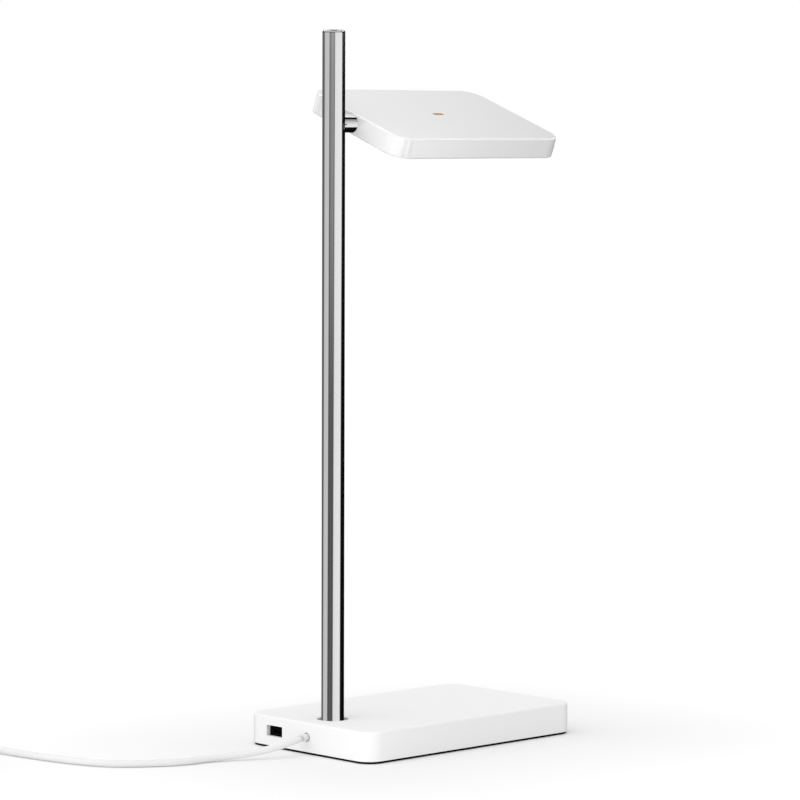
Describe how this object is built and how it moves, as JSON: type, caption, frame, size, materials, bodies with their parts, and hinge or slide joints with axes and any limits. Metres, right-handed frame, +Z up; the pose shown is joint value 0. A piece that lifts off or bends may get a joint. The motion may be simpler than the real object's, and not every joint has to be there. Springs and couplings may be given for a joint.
{
  "type": "desk lamp",
  "caption": "Desk lamp: flat light head rolling on a stem of a chromed column that swivels in a weighted white base with a charging socket, cord and plug-in adapter.",
  "frame": {"origin": "on the table, under the middle of the base", "axes": "+Z up along the column, +X from the column's end of the base to its far end, +Y away from the viewer's side of the base"},
  "size_m": [0.4594, 0.3112, 0.506],
  "materials": {
    "white_shell": "satin white",
    "chrome_tube": "polished chrome plate",
    "pad_black": "matt black",
    "steel": "plain zinc-plated steel",
    "ballast_iron": "raw cast iron",
    "cast_alloy": "die cast",
    "bearing_black": "black acetal",
    "board_green": "solder resist",
    "board_white": "white solder resist",
    "socket_black": "moulded black",
    "contact_gold": "gold flash",
    "component_black": "moulded",
    "can_silver": "drawn can",
    "lead_black": "matt sleeve",
    "cord_white": "satin white sleeve",
    "tie_white": "soft tie band",
    "adapter_white": "fine texture",
    "blade_plated": "nickel plate",
    "diffuser_opal": "opal",
    "led_phosphor": "phosphor",
    "key_orange": "satin orange"
  },
  "bodies": {
    "base": {"base_housing": "white_shell", "base_plate": "steel", "foot_pad": "pad_black", "ballast": "ballast_iron", "base_screws": "steel", "ballast_screws": "steel", "bearing_screws": "steel", "bearing_block": "cast_alloy", "swivel_bush": "bearing_black", "thrust_washer": "bearing_black", "stop_dowel": "steel", "board_standoffs": "can_silver", "power_board": "board_green", "board_screws": "steel", "usb_shell": "steel", "usb_gasket": "socket_black", "usb_tongue": "socket_black", "usb_contacts": "contact_gold", "lead_connector": "board_white", "power_inductor": "component_black", "power_capacitors": "can_silver", "driver_chips": "component_black", "cord_boot": "cord_white", "cord_anchor": "cast_alloy", "supply_wires": "lead_black", "base_lead": "lead_black", "cord_lead": "cord_white", "cord_coil": "cord_white", "cord_tie": "tie_white", "adapter_boot": "cord_white", "adapter_case": "adapter_white", "adapter_blades": "blade_plated"},
    "column": {"column_tube": "chrome_tube", "column_cap": "chrome_tube", "column_foot": "steel", "foot_nut": "steel", "spring_washer": "steel", "column_insert": "cast_alloy", "pivot_stem": "chrome_tube", "stop_pin": "steel", "column_lead": "lead_black", "pivot_washer": "bearing_black", "pivot_spring": "steel", "pivot_ring": "steel"},
    "head": {"head_housing": "white_shell", "diffuser": "diffuser_opal", "pivot_bushes": "bearing_black", "pivot_bracket": "cast_alloy", "bracket_screws": "steel", "heat_spreader": "can_silver", "led_board": "board_white", "led_chips": "led_phosphor", "light_screws": "steel", "led_plug": "board_white", "head_lead": "lead_black", "switch_body": "component_black"},
    "key": {"switch_key": "key_orange", "switch_plunger": "component_black"}
  },
  "joints": [
    {"name": "column_swivel", "type": "hinge", "parent": "base", "child": "column", "pos_m": [-0.0779, 0, 0], "axis": [0, 0, 1], "range_deg": [-163, 163]},
    {"name": "head_roll", "type": "hinge", "parent": "column", "child": "head", "pos_m": [-0.0779, 0, 0.4409], "axis": [1, 0, 0], "range_deg": [-173.5, 132.5]},
    {"name": "key_press", "type": "slide", "parent": "head", "child": "key", "axis": [0, 0.3502, -0.9367], "range_m": [0, 0.0005], "stiffness_N_per_m": 1500, "springref_m": -0.0003}
  ]
}
